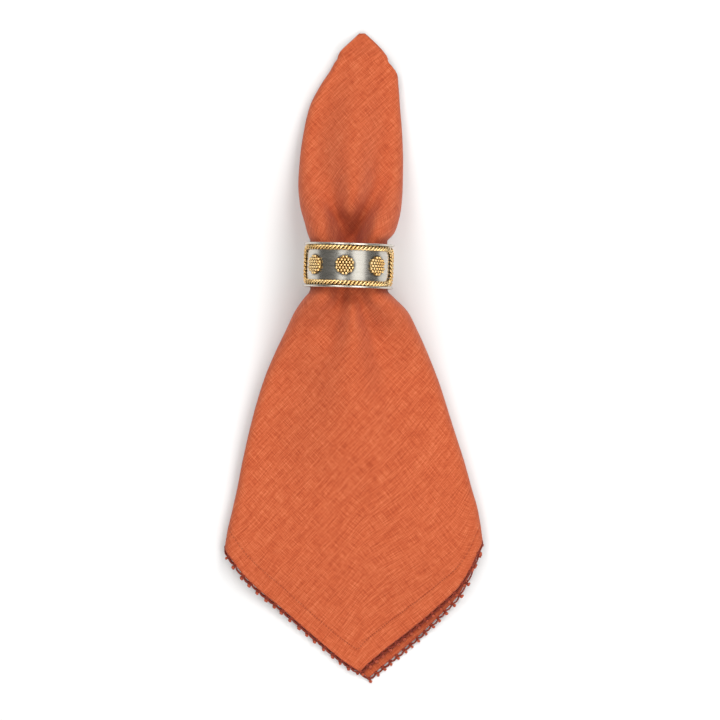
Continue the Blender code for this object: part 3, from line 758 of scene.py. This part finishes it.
def add_chain(data, hem, step, number):
    """One arch of chain, from a knot to the next."""
    rise = CHAIN_REACH + wobble(number, CHAIN_WOBBLES) - CHAIN_FOOT
    share = np.linspace(0.0, 1.0, CHAIN_POINTS)
    reach = CHAIN_FOOT + rise * np.sin(math.pi * share) ** CHAIN_ROUNDNESS
    add_tube(data, hem.place(step + share, reach), CHAIN_CORD, CORD_SIDES)


def add_picot(data, hem, step, number):
    """The knot between two arches and the small loop that hangs from it."""
    middle = step + wobble(number, STEP_WOBBLES)
    knot, beyond = (hem.place(middle, KNOT_REACH + out) for out in (0.0, 1.0))
    before, after = (hem.place(middle + on, KNOT_REACH) for on in (-0.1, 0.1))
    out = unit(beyond - knot)
    way = unit(after - before)
    over = unit(np.cross(way, out))
    add_blob(data, knot, [size * axis for size, axis in zip(KNOT_SIZE, (way, out, over))])
    lean = wobble(number, LEAN_WOBBLES) + LOOP_LEAN
    hub = knot + out * (LOOP_REACH - KNOT_REACH) + way * lean
    add_tube(data, [knot, (knot + hub) / 2.0, hub], LOOP_CORD, CORD_SIDES, up=over)
    loop = hub + round_points(LOOP_POINTS, LOOP_RADIUS * out, LOOP_RADIUS * way)
    add_tube(data, loop, LOOP_CORD, LOOP_SIDES, closed=True, up=over, weight=1.0)


def add_lace(sheets, material):
    """The crocheted edging of all four layers."""
    data = MeshData()
    for index, sheet in enumerate(sheets):
        for side in (-1, 1):
            hem = Hem(sheet, side)
            steps = np.linspace(0.0, hem.count, hem.count * BASE_POINTS + 1)
            base = hem.place(steps, BASE_REACH)
            add_tube(data, base, BASE_CORD, CORD_SIDES, weight=1.0)
            first = 37 * index + (11 if side > 0 else 0)
            for number in range(hem.count):
                add_chain(data, hem, number, first + number)
            for number in range(1, hem.count + (side > 0)):
                add_picot(data, hem, number, first + number)
    # The picot values, 1 on the loops and the base cord, choose the thread's painted highlight.
    return data.build("picot_edging", material, weight_name="picot")


def ring_places(angle, y, radius):
    """Places on the ring, with its small turn about the vertical."""
    angle, y, radius = together(angle, y, radius)
    x = radius * np.sin(angle)
    turned_x = x * math.cos(RING_TURN) - y * math.sin(RING_TURN)
    turned_y = x * math.sin(RING_TURN) + y * math.cos(RING_TURN)
    return np.stack([turned_x, turned_y, radius * np.cos(angle) + RING_Z], axis=-1)


def rope_route():
    """Even steps round the rope's frame, from the panel's middle, and its length."""
    corners = []
    for quarter, (x_sign, y_sign) in enumerate(((1, 1), (1, -1), (-1, -1), (-1, 1))):
        for share in np.linspace(0.0, 1.0, CORNER_POINTS):
            turn = math.pi / 2 * (1.0 - quarter - share)
            x = x_sign * ROPE_RUN + ROPE_CORNER * math.cos(turn)
            y = y_sign * ROPE_RISE + ROPE_CORNER * math.sin(turn)
            corners.append((x, y))
    corners = np.array(corners + corners[:1])
    lengths = lengths_along(corners)
    count = int(round(lengths[-1] / STRAND_STEP))
    marks = np.linspace(0.0, lengths[-1], count, endpoint=False)
    return np.column_stack([np.interp(marks, lengths, column) for column in corners.T]), lengths[-1]


def add_rope(name, panel, material):
    """Two strands twisted together and bent round one panel."""
    route, length = rope_route()
    turns = round(length / STRAND_PITCH)
    way = unit(np.roll(route, -1, axis=0) - np.roll(route, 1, axis=0))
    data = MeshData()
    for strand in (0.0, math.pi):
        phase = strand + TAU * turns * np.arange(len(route)) / len(route)
        sideways = STRAND_OFFSET[0] * np.cos(phase)
        x, y = (route + sideways[:, None] * np.column_stack([-way[:, 1], way[:, 0]])).T
        angle = panel + x / BAND_RADIUS
        radius = ROPE_RADIUS - STRAND_OFFSET[1] * np.sin(phase)
        centres = ring_places(angle, y, radius)
        up = unit(ring_places(angle, y, radius + 1.0) - centres)
        add_tube(data, centres, STRAND_SIZE, STRAND_SIDES, closed=True, up=up)
    return data.build(name, material)


def bead_spots():
    """Bead places of one boss: a honeycomb without its six corners."""
    spots = [(0.0, 0.0)]
    for ring in BEAD_RINGS:
        for side in range(6):
            for k in range(ring == BEAD_RINGS[-1], ring):
                start, end = (TAU * (side + step) / 6.0 for step in (0, 1))
                share = k / ring
                x = ring * ((1 - share) * math.cos(start) + share * math.cos(end))
                y = ring * ((1 - share) * math.sin(start) + share * math.sin(end))
                spots.append((x * BEAD_PITCH, y * BEAD_PITCH))
    return spots


def add_boss(name, centre, material):
    """A low disc covered in beads, with a fine rim."""
    data = MeshData()
    disc = DISC_RADIUS * round_points(DISC_SIDES, np.array([1.0, 0.0]), np.array([0.0, 1.0]))
    rows = []
    for share, height in DISC_STEPS:
        x, y = (share * disc).T
        rows.append(data.add(ring_places(centre + x / BAND_RADIUS, y, BAND_RADIUS + height)))
    for first, second in zip(rows, rows[1:]):
        data.strip(first, second, closed=True)
    data.faces.append(tuple(rows[-1]))
    data.faces.append(tuple(rows[0][::-1]))
    for x, y in bead_spots():
        angle = centre + x / BAND_RADIUS
        drop = BEAD_DROP * (math.hypot(x, y) / BOSS_RADIUS) ** 2
        hub = ring_places(angle, y, BAND_RADIUS + BEAD_HEIGHT - drop)
        up = unit(ring_places(angle, y, BAND_RADIUS + 2.0) - hub)
        side = unit(np.cross((0.0, 1.0, 0.0), up))
        axes = [size * axis for size, axis in zip(BEAD_SIZE, (side, np.cross(up, side), up))]
        add_blob(data, hub, axes, rounds=6, sides=10)
    return data.build(name, material)


def rolled_flange():
    """One end of the outline as Y and radius, from the bore to the band."""
    end, inner = RING_HALF_LENGTH, RING_HALF_LENGTH - FLANGE_WIDTH
    rim = FLANGE_WIDTH / 2.0
    outline = [(end - FILLET, BORE_RADIUS + FILLET), (end, BORE_RADIUS + RIM_START)]
    for angle in np.linspace(0.0, math.pi, ROLL_POINTS):
        y = end - rim + rim * math.cos(angle)
        outline.append((y, FLANGE_RADIUS - rim + rim * math.sin(angle)))
    outline += [(inner, BAND_RADIUS + FOOT_RISE), (inner - FILLET, BAND_RADIUS + FILLET)]
    return outline + [(inner - FOOT_RUN, BAND_RADIUS)]


def ring_profile():
    """The band's outline as Y and radius, anticlockwise from the bore's near end."""
    bore_end = RING_HALF_LENGTH - BORE_INSET
    band_end = RING_HALF_LENGTH - FLANGE_WIDTH - BAND_INSET
    flange = rolled_flange()
    profile = [(y, BORE_RADIUS) for y in np.linspace(-bore_end, bore_end, BORE_COLUMNS)]
    profile += flange
    profile += [(y, BAND_RADIUS) for y in np.linspace(band_end, -band_end, BAND_COLUMNS)]
    profile += [(-y, radius) for y, radius in reversed(flange)]
    return np.array(profile)


def painted_shade_at(angle, y, radius):
    """Painted shade on the recessed metal: most beside the ropes and round the bosses."""
    dark = np.zeros_like(y)
    for panel in PANELS.values():
        x = ((angle - panel + math.pi) % TAU - math.pi) * BAND_RADIUS
        past_x, past_y = np.abs(x) - ROPE_RUN, np.abs(y) - ROPE_RISE
        outside = np.hypot(np.maximum(past_x, 0.0), np.maximum(past_y, 0.0))
        inside = np.maximum(past_x, past_y)
        gap = np.where(inside > 0.0, outside, inside) - ROPE_CORNER
        beside = np.maximum(np.abs(gap) - ROPE_HALF_WIDTH, 0.0)
        dark = np.maximum(dark, bell(beside, ROPE_SHADE_WIDTH))
        dark = np.maximum(dark, np.where((gap > 0.0) & (gap < OUTSIDE_REACH), OUTSIDE_SHADE, 0.0))
        for number in (-1, 0, 1):
            away = np.hypot(x - number * BOSS_SPACING * BAND_RADIUS, y) - BOSS_RADIUS
            dark = np.maximum(dark, bell(np.maximum(away, 0.0), BOSS_SHADE_WIDTH))
    recessed = (radius > BORE_RADIUS + RECESS_DEPTH) & (radius < BAND_RADIUS + RECESS_DEPTH)
    return np.where(recessed, dark, 0.0)


def add_ring(material):
    """The band with its two rolled flanges."""
    y, radius = ring_profile().T
    data = MeshData()
    rows = []
    for angle in TAU * np.arange(RING_SEGMENTS) / RING_SEGMENTS:
        uvs = np.column_stack([np.full(len(y), angle * BAND_RADIUS), y])
        rows.append(data.add(ring_places(angle, y, radius), uvs, painted_shade_at(angle, y, radius)))
    for first, second in zip(rows, rows[1:] + rows[:1]):
        data.strip(second, first, closed=True)
    ring = data.build("ring_shell", material, weight_name="recess_shade")
    ring.data.set_sharp_from_angle(angle=SHARP_ANGLE)
    return ring


class Look:
    """A material in the making."""

    def __init__(self, name, **settings):
        self.material = bpy.data.materials.new(name)
        self.material.use_nodes = True
        self.tree = self.material.node_tree
        self.surface = self.tree.nodes["Principled BSDF"].inputs
        for socket, value in settings.items():
            self.surface[socket.replace("_", " ")].default_value = value

    def add(self, kind, inputs=(), **settings):
        node = self.tree.nodes.new("ShaderNode" + kind)
        for name, value in settings.items():
            setattr(node, name, value)
        for socket, value in dict(inputs).items():
            self.put(node.inputs[socket], value)
        return node

    def put(self, socket, value):
        if isinstance(value, bpy.types.NodeSocket):
            self.tree.links.new(value, socket)
        else:
            socket.default_value = value

    def math(self, operation, *values):
        node = self.add("Math", operation=operation)
        for socket, value in zip(node.inputs, values):
            self.put(socket, value)
        return node.outputs[0]

    def times(self, *values):
        return self.math("MULTIPLY", *values)

    def weighted(self, *terms):
        """The sum of some values, each times its weight."""
        products = [self.times(value, weight) for value, weight in terms]
        total = products[0]
        for product in products[1:]:
            total = self.math("ADD", total, product)
        return total

    def wave(self, value, pitch):
        return self.math("SINE", self.times(value, TAU / pitch))

    def noise(self, vector, scale, detail=2.0, roughness=0.5):
        inputs = {"Vector": vector, "Scale": scale, "Detail": detail, "Roughness": roughness}
        return self.add("TexNoise", inputs).outputs["Fac"]

    def vector(self, x, y, z=0.0):
        return self.add("CombineXYZ", {"X": x, "Y": y, "Z": z}).outputs[0]

    def flat(self):
        """The two flat coordinates of the surface."""
        place = self.add("UVMap", uv_map="flat").outputs[0]
        return self.add("SeparateXYZ", {"Vector": place}).outputs[:2]

    def place(self):
        return self.add("TexCoord").outputs["Object"]

    def values(self, name):
        """The numbers that the mesh has under a name."""
        return self.add("Attribute", attribute_name=name).outputs["Fac"]

    def openness(self, reach, **settings):
        """How much of its surroundings a place sees within some millimetres."""
        inputs = {"Distance": reach * MM}
        return self.add("AmbientOcclusion", inputs, samples=8, **settings).outputs["AO"]

    def spread(self, value, low, high, to_low=0.0, to_high=1.0):
        """A soft step of a value between two limits."""
        inputs = {"Value": value, "From Min": low, "From Max": high}
        inputs.update({"To Min": to_low, "To Max": to_high})
        return self.add("MapRange", inputs, interpolation_type="SMOOTHSTEP").outputs["Result"]

    def mix(self, share, first, second):
        return self.add("Mix", {0: share, 6: first, 7: second}, data_type="RGBA").outputs[2]

    def finish(self, colour, roughness, height, relief, strength=1.0):
        """The material, with a height raised so that 1 is a relief in millimetres."""
        inputs = {"Height": height, "Distance": relief * MM, "Strength": strength}
        normal = self.add("Bump", inputs).outputs["Normal"]
        values = {"Base Color": colour, "Roughness": roughness, "Normal": normal}
        for socket, value in values.items():
            self.put(self.surface[socket], value)
        return self.material


# Linen: colours, then each layer of its texture with its share in the tone and in the relief.
LINEN_DARK = (0.40, 0.062, 0.019, 1.0)
LINEN_MIDDLE = (0.56, 0.106, 0.036, 1.0)
LINEN_LIGHT = (0.70, 0.195, 0.08, 1.0)
LINEN_SHADED = (0.20, 0.018, 0.006, 1.0)
STITCH_DARK = (0.26, 0.035, 0.012, 1.0)
Slub = namedtuple("Slub", "stretch scale seed tone relief")
LONG_SLUBS = Slub(0.045, 2.7, 0.0, 0.9, 0.55)
SHORT_SLUBS = Slub(0.16, 1.9, 5.0, 0.25, 0.35)
WARP_SEED, WEFT_SEED = 3.7, 11.3
THREAD_PITCH = 1.0
WEAVE_TONE, WEAVE_RELIEF = 0.18, 0.22
MOTTLE_SCALE, MOTTLE_TONE = 0.045, 0.10
STITCH_PITCH = 1.7
STITCH_TONE, STITCH_RELIEF = 0.5, -1.0
HEM_RELIEF, MITRE_RELIEF = 0.8, -0.6
SHADE_TONE = 0.4
SKY_REACH = 14.0
LINEN_RELIEF = 0.22


def slub_tone(look, p, q, slub):
    """Thick and thin threads that run along p and along q."""
    threads = []
    for run, over, seed in ((p, q, WARP_SEED), (q, p, WEFT_SEED)):
        slow = look.times(run, slub.stretch)
        place = look.vector(slow, over, seed + slub.seed)
        threads.append(look.noise(place, slub.scale, detail=1.0))
    return look.math("ADD", *threads)


def linen_material():
    """Plain-woven linen: threads and slubs, the hem's drawn-thread line, and the folds' shade."""
    look = Look("linen", Sheen_Weight=0.12, Sheen_Roughness=0.5, Specular_IOR_Level=0.2)
    p, q = (look.times(look.math("SUBTRACT", axis, 0.5), CLOTH_SIDE) for axis in look.flat())
    long_tone = slub_tone(look, p, q, LONG_SLUBS)
    short_tone = slub_tone(look, p, q, SHORT_SLUBS)
    weave = look.times(look.wave(p, THREAD_PITCH), look.wave(q, THREAD_PITCH))
    mottle = look.noise(look.vector(p, q), MOTTLE_SCALE, detail=3.0)
    tone = look.weighted(
        (long_tone, LONG_SLUBS.tone),
        (short_tone, SHORT_SLUBS.tone),
        (weave, WEAVE_TONE),
        (mottle, MOTTLE_TONE),
    )
    dark = look.mix(look.spread(tone, 0.86, 1.20), LINEN_DARK, LINEN_MIDDLE)
    colour = look.mix(look.spread(tone, 1.20, 1.58), dark, LINEN_LIGHT)

    far_p, far_q = look.math("ABSOLUTE", p), look.math("ABSOLUTE", q)
    from_hem = look.math("SUBTRACT", QUARTER, look.math("MAXIMUM", far_p, far_q))
    off_line = look.math("ABSOLUTE", look.math("SUBTRACT", from_hem, HEM_WIDTH))
    line = look.spread(off_line, 0.2, 0.5, 1.0, 0.0)
    along_hem = look.math("MINIMUM", far_p, far_q)
    beat = look.wave(along_hem, STITCH_PITCH)
    stitch = look.times(line, look.spread(beat, -0.2, 0.7, 0.15, 1.0))
    colour = look.mix(look.times(stitch, STITCH_TONE), colour, STITCH_DARK)
    hem = look.spread(from_hem, HEM_WIDTH - 0.4, HEM_WIDTH + 0.2, 1.0, 0.0)
    off_mitre = look.math("ABSOLUTE", look.math("SUBTRACT", far_p, far_q))
    mitre = look.times(look.spread(off_mitre, 0.2, 0.7, 1.0, 0.0), hem)

    shaded = look.times(look.values("hem_shade"), SHADE_TONE)
    colour = look.mix(shaded, colour, LINEN_SHADED)
    open_sky = look.spread(look.openness(SKY_REACH), 0.30, 0.92, 0.38, 1.0)
    colour = look.mix(open_sky, LINEN_SHADED, colour)

    height = look.weighted(
        (weave, WEAVE_RELIEF),
        (long_tone, LONG_SLUBS.relief),
        (short_tone, SHORT_SLUBS.relief),
        (hem, HEM_RELIEF),
        (stitch, STITCH_RELIEF),
        (mitre, MITRE_RELIEF),
    )
    return look.finish(colour, 0.86, height, LINEN_RELIEF)


# Painted light: a shaded copy of the thread's colour for the chain and knots, a lit one for the
# picots and base cord.
SHADED_CHAIN_DARK, SHADED_CHAIN_LIGHT = (0.13, 0.012, 0.006, 1.0), (0.34, 0.048, 0.020, 1.0)
LIT_PICOT_DARK, LIT_PICOT_LIGHT = (0.26, 0.032, 0.014, 1.0), (0.56, 0.112, 0.050, 1.0)
TWISTS_PER_MM = 2.2


def thread_material():
    """Twisted cotton cord: painted shade in its grooves and on the chain, a painted highlight on
    the picots and base cord.
    """
    look = Look("edging_thread", Sheen_Weight=0.1, Specular_IOR_Level=0.25)
    length, turn = look.flat()
    # The twist darkens the colour in its grooves as painted shade, besides raising the relief.
    twist = look.wave(look.weighted((length, TWISTS_PER_MM), (turn, 2.0)), 1.0)
    fleck = look.noise(look.place(), 900.0, detail=3.0)
    tone = look.weighted((twist, 0.16), (fleck, 1.0))
    chain = look.mix(look.spread(tone, 0.25, 0.8), SHADED_CHAIN_DARK, SHADED_CHAIN_LIGHT)
    picot = look.mix(look.spread(tone, 0.15, 0.7), LIT_PICOT_DARK, LIT_PICOT_LIGHT)
    # Painted light: the lit colour where the picot values are 1, the shaded colour elsewhere.
    colour = look.mix(look.values("picot"), chain, picot)
    return look.finish(colour, 0.8, tone, 0.12)


PEWTER_DARK, PEWTER_LIGHT = (0.51, 0.485, 0.43, 1.0), (0.69, 0.655, 0.585, 1.0)
# Painted shade: the dark colour that the band's recesses are mixed towards.
PEWTER_SHADE_COLOUR = (0.045, 0.04, 0.034, 1.0)
BRUSH_STRETCH = 0.05


def pewter_material():
    """Pewter brushed round the band, with painted shade, in cloudy patches, in its recesses."""
    look = Look("pewter", Metallic=1.0)
    around, y = look.flat()
    brush_place = look.vector(look.times(around, BRUSH_STRETCH), y)
    brushed = look.noise(brush_place, 5.5, detail=4.0, roughness=0.7)
    grain = look.weighted((brushed, 0.7), (look.noise(brush_place, 0.7), 0.3))
    metal = look.mix(look.spread(grain, 0.3, 0.7), PEWTER_DARK, PEWTER_LIGHT)
    clouds = look.noise(look.vector(around, y), 0.9, detail=3.0)
    patchy = look.times(look.spread(clouds, 0.25, 0.7, 0.65, 1.0), 0.9)
    # Painted shade beside the ropes and round the bosses, made patchy by the clouds.
    share = look.times(look.values("recess_shade"), patchy)
    colour = look.mix(share, metal, PEWTER_SHADE_COLOUR)
    roughness = look.spread(grain, 0.25, 0.75, 0.20, 0.34)
    return look.finish(colour, roughness, brushed, 0.02, strength=0.7)


GILT_DARK, GILT_LIGHT = (0.90, 0.56, 0.21, 1.0), (0.97, 0.70, 0.34, 1.0)
# Painted shade for the hollows between the beads and the strands.
GILT_HOLLOW_SHADE = (0.09, 0.038, 0.010, 1.0)
HOLLOW_REACH = 0.9


def gilt_material():
    """Gilt castings, bright on top, with painted dark brown shade in the hollows between the
    grains.
    """
    look = Look("gilt", Metallic=1.0)
    cast = look.noise(look.place(), 1400.0, detail=3.0)
    tint = look.noise(look.place(), 120.0)
    crevice = look.openness(HOLLOW_REACH, only_local=True)
    gold = look.mix(look.spread(tint, 0.3, 0.7), GILT_DARK, GILT_LIGHT)
    # Painted shade: the colour turns dark brown where a place sees little around it.
    colour = look.mix(look.spread(crevice, 0.38, 0.88), GILT_HOLLOW_SHADE, gold)
    roughness = look.spread(cast, 0.3, 0.7, 0.18, 0.28)
    return look.finish(colour, roughness, cast, 0.03, strength=0.6)


TABLE_DARK, TABLE_LIGHT = (0.86, 0.855, 0.85, 1.0), (0.89, 0.885, 0.88, 1.0)


def table_material():
    look = Look("table")
    cloudy = look.noise(look.place(), 6.0, detail=3.0)
    colour = look.mix(look.spread(cloudy, 0.3, 0.7), TABLE_DARK, TABLE_LIGHT)
    grain = look.noise(look.place(), 700.0)
    return look.finish(colour, 0.7, grain, 0.05, strength=0.3)


def add_table(material):
    mesh = bpy.data.meshes.new("table_top")
    signs = ((-1, -1), (1, -1), (1, 1), (-1, 1))
    corners = [(x * TABLE_HALF, y * TABLE_HALF, -TABLE_GAP) for x, y in signs]
    mesh.from_pydata(corners, [], [(0, 1, 2, 3)])
    mesh.materials.append(material)
    table = link(bpy.data.objects.new("table_top", mesh))


def add_light(light):
    """A soft light that looks at the ring. Azimuth 0 is +X and 90 is +Y."""
    data = bpy.data.lights.new(light.name, "AREA")
    data.shape = "RECTANGLE"
    data.size, data.size_y = light.size
    data.energy = light.power
    obj = link(bpy.data.objects.new(light.name, data))
    azimuth, off = math.radians(light.azimuth_deg), math.radians(light.off_vertical_deg)
    aside = light.distance * math.sin(off)
    height = light.distance * math.cos(off)
    obj.location = (aside * math.cos(azimuth), aside * math.sin(azimuth), height)
    obj.rotation_euler = (0.0, off, azimuth)


def add_studio():
    world = bpy.data.worlds.new("studio")
    world.use_nodes = True
    sky = world.node_tree.nodes["Background"].inputs
    sky["Color"].default_value = SKY_COLOUR
    sky["Strength"].default_value = SKY_STRENGTH
    scene = bpy.context.scene
    scene.world = world
    scene.view_settings.view_transform = "Standard"
    for light in LIGHTS:
        add_light(light)


def add_camera():
    """The camera straight above, at the photo's place over the napkin."""
    camera = bpy.data.cameras.new("camera")
    camera.sensor_width = SENSOR
    half_ring = (RING_Z + FLANGE_RADIUS / 2.0) * MM
    camera.lens = SENSOR * (VIEW_HEIGHT - half_ring) / VIEW_SPAN
    obj = link(bpy.data.objects.new("camera", camera))
    obj.location = ((RING_X + VIEW_X) * MM, (RING_Y + VIEW_Y) * MM, VIEW_HEIGHT)
    bpy.context.scene.camera = obj


def add_trim(panel, centre, gilt):
    """One panel's rope and its three bosses, with the solids that they replace."""
    yield add_rope(f"rope_twist_{panel}", centre, gilt), f"rope_{panel}"
    for number in (1, 2, 3):
        name = f"{panel}_{number}"
        angle = centre + BOSS_SPACING * (number - 2)
        yield add_boss(f"beaded_boss_{name}", angle, gilt), f"boss_{name}"


def main():
    add_camera()
    add_studio()
    add_table(table_material())
    drape = Drape()
    cloth = add_cloth(drape, linen_material())
    lace = add_lace([Sheet(drape, layer) for layer in LAYERS], thread_material())
    ring = add_ring(pewter_material())
    pieces = [
        (cloth, "linen", "napkin"),
        (lace, "edging_thread", "lace_edging"),
        (ring, "pewter", "ring_band"),
    ]
    gilt = gilt_material()
    for panel, centre in PANELS.items():
        pieces += [(piece, "gilt", node) for piece, node in add_trim(panel, centre, gilt)]
    for piece, slot, node in pieces:
        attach(piece, "root")
        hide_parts(node)


main()
